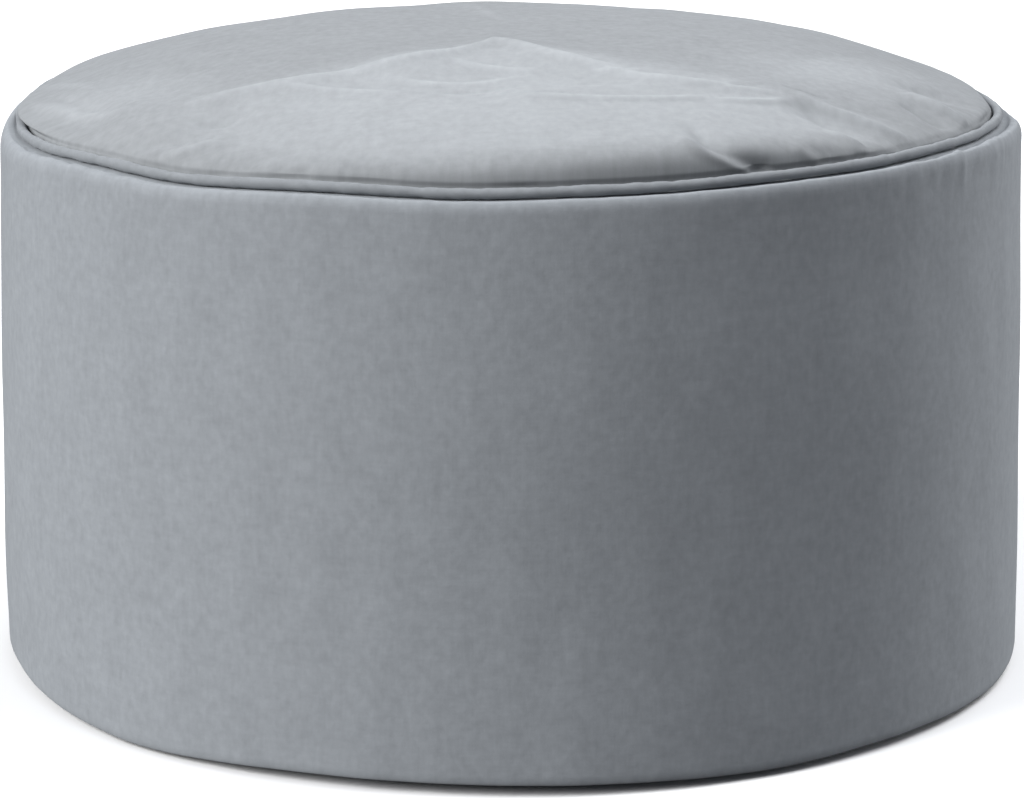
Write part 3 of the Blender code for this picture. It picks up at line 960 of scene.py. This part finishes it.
@dataclass
class TopPanel(SewnPiece):
    """The round top panel, one sheet with its face, cut edge and back."""

    crown: CrownForm
    # painted highlight on the top, lighter in front of the crest and at both sides
    painted_top_light: PaintedTopLight = PaintedTopLight()
    steps: int = 600
    dome_rows: int = 96
    dome_crowding: float = 0.7  # lower crowds the dome's rows outwards
    roll_rows: int = 40
    roll_crowding: int = 4
    middle: float = 0.003  # radius of the innermost row
    back_pick: int = 6  # the back keeps every sixth row
    cut_radius: float = 0.245  # radius of the flat cut
    ridge_height: float = 0.0012  # a ridge this high is lightened by half, as scuffing and painted highlight
    ridge_scuff_and_highlight_cap: float = 0.6  # and a high one by this much

    def face(self) -> tuple[Grid, Grid]:
        """The face as a grid, from near the middle to the cut edge.

        Returns:
            Points and plan places. The dome's rows lie closer together outwards and
            the roll's lie at roll_width * s ^ 4 from the edge, for even steps of s,
            because the roll rises as a fourth root there. Creases and puckers stand
            along the normals of the plain face, so that they also show on the roll.
        """
        edge, roll = self.crown.radius, self.crown.roll_width
        share = np.linspace(0.0, 1.0, self.dome_rows, endpoint=False) ** self.dome_crowding
        dome = self.middle + (edge - roll - self.middle) * share
        inward = roll * np.linspace(1.0, 0.0, self.roll_rows) ** self.roll_crowding
        radius = np.concatenate((dome, edge - inward))[:, None]
        bearing = bearings(self.steps)[None, :]
        flat = ring_points(bearing, radius, 0.0)
        height = self.crown.plain_height(flat)
        lean = self.crown.overhang(bearing, radius, height)
        face = self.crown.seam.shifted(ring_points(bearing, radius + lean, height))
        fine = self.crown.fine_height(flat, height)[..., None]
        return face + fine * grid_normals(face), flat[..., :2]

    def surface(self) -> RingSurface:
        """Face from the middle out, round the cut edge, and back in underneath."""
        face, face_plan = self.face()
        back = face - PANEL_THICKNESS * grid_normals(face)
        pick = np.arange(len(face) - 1, 0, -self.back_pick)
        points = np.concatenate((face, back[pick]))
        plan = np.concatenate((face_plan, face_plan[pick]))
        chart = np.concatenate((plan, plan[:, :1]), axis=1)
        # crease ridges are lightened, partly as scuffing and partly as painted highlight
        ridge_scuff_and_highlight = 0.5 * self.crown.crease_height(plan) / self.ridge_height
        wear_and_light = np.clip(ridge_scuff_and_highlight, 0.0, self.ridge_scuff_and_highlight_cap) + self.painted_top_light.over(plan, self.crown.radius)
        return RingSurface(self.name, points, chart, wear_and_light)

    def declare(self, piece: bpy.types.Object) -> None:
        """Does nothing; the panel is a sheet stretched over the filling."""


@dataclass
class SideBand(SewnPiece):
    """The side band with its filling: shoulder, wall, base seam and hidden sides."""

    seam: SeamForm
    crown: CrownForm
    wall: WallForm
    base: BaseForm
    steps: int = 720
    hidden_rows: int = 10
    shoulder_rows: int = 44
    wall_rows: int = 64
    foot_rows: int = 8
    base_rows: int = 8
    wall_crowding: float = 1.15  # higher crowds the wall's rows towards the top
    shoulder_drop: float = 0.011
    panel_room: float = 0.0048  # the hidden crown lies this far under the panel
    edge_room: float = 0.0075  # and ends this far inside the panel's edge
    middle_reach: float = 0.06  # and begins at this share of the way out
    foot_width: float = 0.0014
    foot_height: float = 0.005
    foot_rub: float = 0.01  # how far up from the floor the band is rubbed
    puckers: Puckers = Puckers(0.0007, 0.3, (
        Bump(-62, 16, 1.3), Bump(-16, 8, 0.4), Bump(62, 20, 1.5), Bump(180, 10, 1)), 9)
    lip_reach: float = 0.006  # how far the lip's puckers run down the wall
    lip_share: float = 0.5  # how deep they are there
    ripple_start: float = 0.125  # share of the way down where ripples are full
    join_depth: float = 0.0011  # groove of the upright seam that closes the band
    join_width: float = 0.0016
    shoulder: tuple[Step, ...] = (
        Step(0.0, 0.0, 0.0), Step(0.002, 0.0004, -0.0004), Step(0.0034, 0.0012, -0.0016),
        Step(0.0043, 0.0014, -0.002), Step(0.005, 0.0013, -0.0016),
        Step(0.006, 0.0008, 0.0), Step(0.0072, -0.0002, 0.0008),
        Step(0.0086, -0.0018, 0.0013), Step(0.01, -0.0039, 0.0009),
        Step(0.011, -0.006, -0.0005), Step(0.0116, -0.0081, -0.0026),
        Step(0.0118, -0.009, -0.0054),
    )
    shoulder_end: tuple[float, float, float] = (0.6, 1.3, 1.3)  # how its curve ends
    lip_out: float = 0.0078  # out to the crest of the lip
    open_usual: float = 0.75  # how far the groove gapes, from 0 to 1
    openings: Bumps = (Bump(35, 45, 0.25), Bump(-95, 26, -0.7), Bump(97, 14, -0.7))

    def shoulder_profile(self) -> Grid:
        """Out, up and open_up of the shoulder's rows, on a smooth curve through its steps.

        Returns:
            An array of three columns. The curve is a Catmull-Rom spline: between two
            steps it is the cubic whose slope at a step is half the run between that
            step's neighbours. It leaves the last step by shoulder_end times the last run.
        """
        steps = np.array([(step.out, step.up, step.open_up) for step in self.shoulder])
        before = 2 * steps[0] - steps[1]
        after = steps[-1] + (steps[-1] - steps[-2]) * np.array(self.shoulder_end)
        knots = np.vstack((before, steps, after))
        place = np.linspace(0.0, len(steps) - 1, self.shoulder_rows)
        first = np.minimum(place.astype(int), len(steps) - 2)
        t = (place - first)[:, None]
        a, b, c, d = (knots[first + i] for i in range(4))
        return 0.5 * (2 * b + (c - a) * t + (2 * a - 5 * b + 4 * c - d) * t ** 2
                      + (3 * b - a - 3 * c + d) * t ** 3)

    def join(self, bearing: Grid) -> Grid:
        """Depth of the band's own upright seam at the back: a bell curve."""
        away = np.radians(turn_between(bearing, 180.0)) * self.wall.low_radius
        return self.join_depth * bell(away / self.join_width)

    def hidden_part(self, bearing: Grid) -> Grid:
        """Rows under the top panel, panel_room below its face, and down to the groove."""
        reach = np.linspace(self.middle_reach, 1.0, self.hidden_rows)
        radius = (self.crown.radius - self.edge_room) * np.append(reach, 1.0)[:, None]
        height = self.crown.plain_height(ring_points(bearing, radius, 0.0))
        height = np.append(height[:-1] - self.panel_room, self.seam.groove(bearing), axis=0)
        return ring_points(bearing, radius, height)

    def shoulder_part(self, bearing: Grid, gathered: Grid) -> Grid:
        """Rows from the groove over the lip: the profile, with puckers up and outwards."""
        out, up, open_up = self.shoulder_profile().T[..., None]
        lifted = np.minimum(1.0, out / self.lip_out) ** 2
        turned = (out - self.lip_out) / (self.shoulder[-1].out - self.lip_out)
        turned = np.maximum(0.0, turned)
        opening = self.open_usual + soft_sum(self.openings, bearing)
        radius = self.seam.ring + out - self.join(bearing) * lifted
        height = self.seam.groove(bearing) + up + opening * (open_up - up)
        return ring_points(bearing, radius + self.lip_share * gathered * turned,
                           height + gathered * (lifted - turned))

    def wall_part(self, bearing: Grid, gathered: Grid) -> Grid:
        """Rows down the wall, and round a quarter of an ellipse at its foot."""
        top = self.seam.groove(bearing) - self.shoulder_drop
        low = self.base.seam_lift(bearing) + self.foot_height
        share = np.linspace(0.0, 1.0, self.wall_rows)[:, None] ** self.wall_crowding
        height = top + (low - top) * share
        radius = self.wall.radius(bearing, height) - self.join(bearing)
        fade = np.minimum(1.0, share / self.ripple_start)
        radius = radius + fade * self.wall.ripples(bearing, height)
        puckered = np.exp((height - top) / self.lip_reach)
        radius = radius + self.lip_share * gathered * puckered
        turn = np.linspace(0.0, math.pi / 2.0, self.foot_rows + 1)[1:, None]
        foot = ring_points(bearing, radius[-1] - self.foot_width * (1.0 - np.cos(turn)),
                           low - self.foot_height * np.sin(turn))
        return np.concatenate((ring_points(bearing, radius, height), foot))

    def base_part(self, bearing: Grid) -> Grid:
        """Rows from the base seam in over the base panel, to near the middle."""
        edge = self.base.radius + self.seam.gap
        inward = np.linspace(edge, self.base.middle, self.base_rows)
        radius = np.append(edge, inward)[:, None]
        height = self.base.curve(radius, bearing) + PANEL_THICKNESS + self.seam.gap
        height[0] = self.base.seam_lift(bearing)
        return ring_points(bearing, radius, height)

    def surface(self) -> RingSurface:
        """The band's surface, charted round and down so that the threads stand upright."""
        bearing = bearings(self.steps)[None, :]
        gathered = self.puckers.along(bearing)
        parts = (self.hidden_part(bearing), self.shoulder_part(bearing, gathered),
                 self.wall_part(bearing, gathered), self.base_part(bearing))
        points = self.seam.shifted(np.concatenate(parts))
        run = np.linalg.norm(np.diff(points, axis=0), axis=2).mean(1)
        down = -np.append(0.0, np.cumsum(run))
        chart = round_chart(self.steps, self.wall.low_radius, down)
        wear_and_light = bell(points[..., 2] / self.foot_rub)
        return RingSurface(self.name, points, chart, wear_and_light)

    def declare(self, piece: bpy.types.Object) -> None:
        """Does nothing; the band holds the filling, a full, firm pad."""


@dataclass
class TopPiping(SewnPiece):
    """The covered piping: a cord in a strip cut on the bias, a closed ring."""

    seam: SeamForm
    steps: int = 900
    sides: int = 20
    radius: float = 0.0026
    uneven: Waves = Waves(0.00013, 0.03, 0.03, 20, 31)  # changes of its thickness
    drift: Waves = Waves(0.00016, 0.06, 0.06, 20, 32)  # how it wanders sideways
    wrinkle: Waves = Waves(0.00008, 0.006, 0.006, 24, 33)  # small wrinkles of the cover
    lightening: float = 0.3  # wear along its top

    def surface(self) -> RingSurface:
        """The ring: a circle of slightly changing radius carried along the groove."""
        bearing = bearings(self.steps)[:, None]
        side = np.linspace(0.0, 2.0 * math.pi, self.sides, endpoint=False)[None, :]
        arc = self.seam.ring * np.sin(bearing), self.seam.ring * np.cos(bearing)
        radius = self.radius - 2 * self.uneven.size + self.uneven.over(*arc)
        radius = radius + self.wrinkle.over(*arc) * np.sin(side) ** 2
        middle = self.seam.groove(bearing) + self.seam.gap + self.radius
        out = self.seam.ring + self.drift.over(*arc) + radius * np.cos(side)
        points = ring_points(bearing, out, middle + radius * np.sin(side))
        points = self.seam.shifted(np.swapaxes(points, 0, 1)[::-1])
        girth = np.linspace(0.0, 2.0 * math.pi, self.sides + 1) * self.radius
        chart = round_chart(self.steps, self.seam.ring, girth)
        above = np.clip(points[..., 2] - middle[:, 0], 0.0, None)
        wear_and_light = self.lightening * above / self.radius
        return RingSurface(self.name, points, chart, wear_and_light, RowEnds.JOINED)


@dataclass
class BasePanel(SewnPiece):
    """The round base panel: flat on the floor, its rim turned up to the base seam."""

    base: BaseForm
    steps: int = 360
    rows: int = 14
    rub_width: float = 0.008  # how wide the worn ring is where the rim turns up

    def surface(self) -> RingSurface:
        """Upper side from the middle out, round the cut edge, and back in underneath."""
        base, bearing = self.base, bearings(self.steps)[None, :]
        flat = np.linspace(base.middle, base.flat_radius, self.rows)
        turned = np.linspace(base.flat_radius, base.radius, self.rows)[1:]
        radius = np.concatenate((flat, turned))[:, None]
        under = ring_points(bearing, radius, base.curve(radius, bearing))
        over = under + np.array((0.0, 0.0, PANEL_THICKNESS))
        points = np.concatenate((over, under[::-1]))
        chart = np.concatenate((points[..., :2], points[:, :1, :2]), axis=1)
        away = np.hypot(points[..., 0], points[..., 1]) - base.flat_radius
        return RingSurface(self.name, points, chart, bell(away / self.rub_width))

    def declare(self, piece: bpy.types.Object) -> None:
        """Does nothing; the panel is a sheet stretched under the filling."""


# ---- studio


@dataclass(frozen=True)
class SoftLight:
    """A broad distant light: where it stands, how wide it looks, and its strength."""

    name: str
    bearing_deg: float
    elevation_deg: float
    strength: float
    colour: Colour = (1.0, 1.0, 1.0)
    width_deg: float = 40.0

    def make(self) -> None:
        """Add the light, turned towards the origin."""
        data = bpy.data.lights.new(self.name, "SUN")
        data.energy = self.strength
        data.angle = math.radians(self.width_deg)
        data.color = self.colour
        lamp = put_in_scene(self.name, data)
        lamp.rotation_euler = (math.radians(90.0 - self.elevation_deg), 0.0,
                               math.radians(self.bearing_deg))


@dataclass(frozen=True)
class Studio:
    """A plain pale floor, soft light and the camera."""

    eye_back: float = 1.798  # camera's distance in front of the axis
    eye_height: float = 0.545
    pitch_deg: float = 13.29
    focal_pixels: float = 3678.0
    image_width: float = 1024.0
    middle_pixel: float = 511.0
    sensor_width: float = 36.0
    floor_half: float = 40.0
    floor_shade: float = 0.9  # how pale the floor looks
    floor_return: float = 0.14  # how much of its light falls back on the footstool
    ambient: Colour = (0.243, 0.255, 0.285)
    lights: tuple[SoftLight, ...] = (
        SoftLight("key", -65, 30, 4.65), SoftLight("far_left", -120, 45, 0.3),
        SoftLight("overhead", 92, 62, 1.75, (0.99, 1.0, 1.02)),
        SoftLight("far_right", 135, 45, 0.7), SoftLight("edge", 120, 20, 1.3),
    )

    def make_camera(self) -> None:
        """Add the camera: it looks along +Y and down by the pitch."""
        data = bpy.data.cameras.new("camera")
        data.sensor_width = self.sensor_width
        data.lens = self.sensor_width * self.focal_pixels / self.image_width
        data.shift_x = 0.5 - self.middle_pixel / self.image_width
        camera = put_in_scene("camera", data)
        camera.location = (0.0, -self.eye_back, self.eye_height)
        camera.rotation_euler = (math.radians(90.0 - self.pitch_deg), 0.0, 0.0)
        bpy.context.scene.camera = camera

    def make_floor(self) -> None:
        """Add the floor, a plain pale plane that isn't part of the footstool.

        It looks pale, but throws back less light than it would then, like a floor in a
        large dark room, so that the shaded side of the footstool keeps its depth.
        """
        half = self.floor_half
        corners = ((-half, -half, 0), (half, -half, 0), (half, half, 0), (-half, half, 0))
        mesh = bpy.data.meshes.new("floor")
        mesh.from_pydata(corners, [], [(0, 1, 2, 3)])
        material = bpy.data.materials.new("floor_paint")
        bench = NodeBench(material)
        seen = bench.add("LightPath").outputs["Is Camera Ray"]
        gain = self.floor_shade - self.floor_return
        shade = bench.add_up(self.floor_return, (seen, gain))
        paint = bench.add("BsdfDiffuse", Color=shade)
        bench.add("OutputMaterial", Surface=paint.outputs[0])
        mesh.materials.append(material)
        floor = put_in_scene("floor", mesh)

    def make_world(self) -> None:
        """Dim even light from all round, behind a white backdrop."""
        world = bpy.data.worlds.new("studio")
        bench = NodeBench(world)
        both = bench.add("MixShader", Fac=bench.add("LightPath").outputs["Is Camera Ray"])
        for socket, colour in zip(both.inputs[1:], (self.ambient, (1.0, 1.0, 1.0))):
            light = bench.add("Background", Color=(*colour, 1.0), Strength=1.0)
            bench.feed(socket, light.outputs[0])
        bench.add("OutputWorld", Surface=both.outputs[0])
        bpy.context.scene.world = world

    def make(self) -> None:
        """Set up the whole studio, with colours shown as they are."""
        self.make_camera()
        self.make_floor()
        self.make_world()
        for light in self.lights:
            light.make()
        bpy.context.scene.view_settings.view_transform = "Standard"


# ---- making it


def main() -> None:
    """Build the footstool's pieces in their order of sewing, and the studio."""
    logging.basicConfig(level=logging.INFO, format="%(message)s")
    seam = SeamForm()
    crown = CrownForm(seam)
    wall = WallForm()
    base = BaseForm()
    pieces = (
        SideBand("side_band_cloth", "filled_side_band",
                 WovenCloth("band_cloth", (0.236, 0.251, 0.267)), seam, crown, wall, base),
        # the top's cloth is the band's cloth darkened as painted shade, with a strong
        # lightening for its painted highlight
        TopPanel("top_panel_cloth", "top_panel",
                 WovenCloth("top_cloth", (0.218, 0.2285, 0.237), wrinkle=0.0003,
                            streaks=0.06, mottle=0.17, lightening=0.28, sheen=0.06), crown),
        # the piping's cloth is the band's cloth darkened as painted shade
        TopPiping("top_piping_cloth", "top_piping",
                  WovenCloth("piping_cloth", (0.197, 0.209, 0.221), Grain.BIAS), seam),
        BasePanel("base_panel_cloth", "base_panel",
                  WovenCloth("base_cloth", (0.236, 0.251, 0.267)), base),
    )
    for piece in pieces:
        piece.make()
    Studio().make()


if __name__ == "__main__":
    main()
